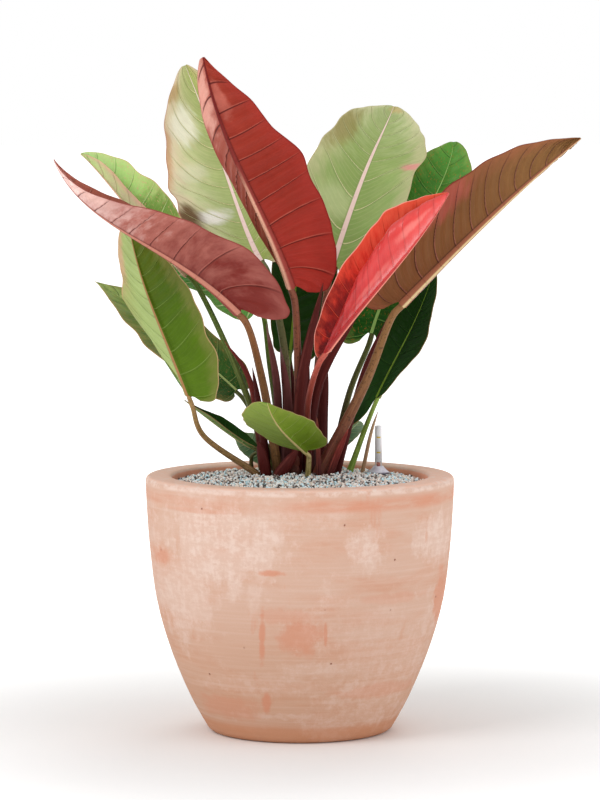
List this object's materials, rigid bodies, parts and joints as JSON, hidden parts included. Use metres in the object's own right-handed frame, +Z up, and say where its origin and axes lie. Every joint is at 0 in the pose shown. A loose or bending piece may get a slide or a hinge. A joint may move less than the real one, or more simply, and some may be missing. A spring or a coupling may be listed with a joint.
{
  "type": "potted prince of orange philodendron",
  "caption": "Potted aroid with a rosette of long-stalked pointed leaves, red new leaves and green older ones, in a round-rimmed clay planter topped with granulate, with a water gauge.",
  "frame": {"origin": "centre of the pot's flat foot, on the surface that it stands on", "axes": "+Z up along the pot's axis; -Y towards the viewer, the side that the reddest leaves lean to; +X to the viewer's right"},
  "size_m": [0.5125, 0.3726, 0.6797],
  "materials": {
    "terracotta": "matte unglazed clay with a pale lime bloom, throwing lines and drips",
    "soil": "coarse dark potting mix",
    "granulate": "loose porous mineral grains, 2 to 4 mm",
    "bark": "dry fibrous old stem",
    "gauge_grey": "satin plastic",
    "gauge_clear": "clear plastic",
    "gauge_red": "satin plastic",
    "red_under": "waxy leaf, red-brown below, with raised veins",
    "rose_under": "waxy leaf, rose brown below",
    "brown_under": "waxy leaf, brown below",
    "coral": "glossy new leaf, orange red",
    "pale_green": "satin leaf, pale yellow green with pale veins",
    "light_green": "satin leaf, light green",
    "green": "satin leaf, fresh green",
    "dark_green": "glossy leaf, deep green",
    "olive": "satin leaf, olive green",
    "grey_green": "satin leaf, grey green",
    "maroon": "dry papery sheath, maroon",
    "mauve": "papery sheath, mauve brown",
    "crimson": "thin fresh sheath, dark red",
    "brown_stem": "smooth leaf stalk, brown with fine specks",
    "olive_stem": "smooth leaf stalk, olive",
    "green_stem": "smooth leaf stalk, green",
    "rose_stem": "smooth leaf stalk, light red",
    "dry": "dry fibrous strip"
  },
  "bodies": {
    "root": {"pot": "terracotta", "substrate": "soil", "topping": "granulate", "crown": "bark", "gauge_stem": "gauge_grey", "gauge_collar": "gauge_grey", "gauge_tube": "gauge_clear", "gauge_float": "gauge_red", "blade_tall_red": "red_under", "petiole_tall_red": "brown_stem", "blade_left_red": "rose_under", "petiole_left_red": "brown_stem", "blade_pale_left": "pale_green", "petiole_pale_left": "olive_stem", "blade_pale_right": "pale_green", "petiole_pale_right": "brown_stem", "blade_back_right": "green", "petiole_back_right": "olive_stem", "blade_right_brown": "brown_under", "petiole_right_brown": "brown_stem", "blade_new_red": "coral", "petiole_new_red": "rose_stem", "blade_left_light": "light_green", "petiole_left_light": "green_stem", "blade_left_green": "olive", "petiole_left_green": "olive_stem", "blade_back_left": "green", "petiole_back_left": "green_stem", "blade_right_dark": "dark_green", "petiole_right_dark": "green_stem", "blade_small_right": "grey_green", "petiole_small_right": "green_stem", "blade_front_olive": "olive", "petiole_front_olive": "olive_stem", "blade_left_dark": "dark_green", "petiole_left_dark": "brown_stem", "blade_small_left": "dark_green", "petiole_small_left": "olive_stem", "blade_small_back": "grey_green", "petiole_small_back": "green_stem", "blade_back_centre": "dark_green", "petiole_back_centre": "green_stem", "sheath_front_long": "maroon", "sheath_right_long": "maroon", "sheath_mauve": "mauve", "sheath_back_left": "maroon", "sheath_back_mid": "maroon", "sheath_back_right": "maroon", "sheath_brown": "mauve", "sheath_left": "maroon", "sheath_left_back": "crimson", "sheath_upright": "maroon", "sheath_right": "maroon", "stub": "rose_stem", "base_sheath_left": "maroon", "base_sheath_front": "maroon", "base_wing": "crimson", "dry_strip": "dry"}
  },
  "joints": []
}
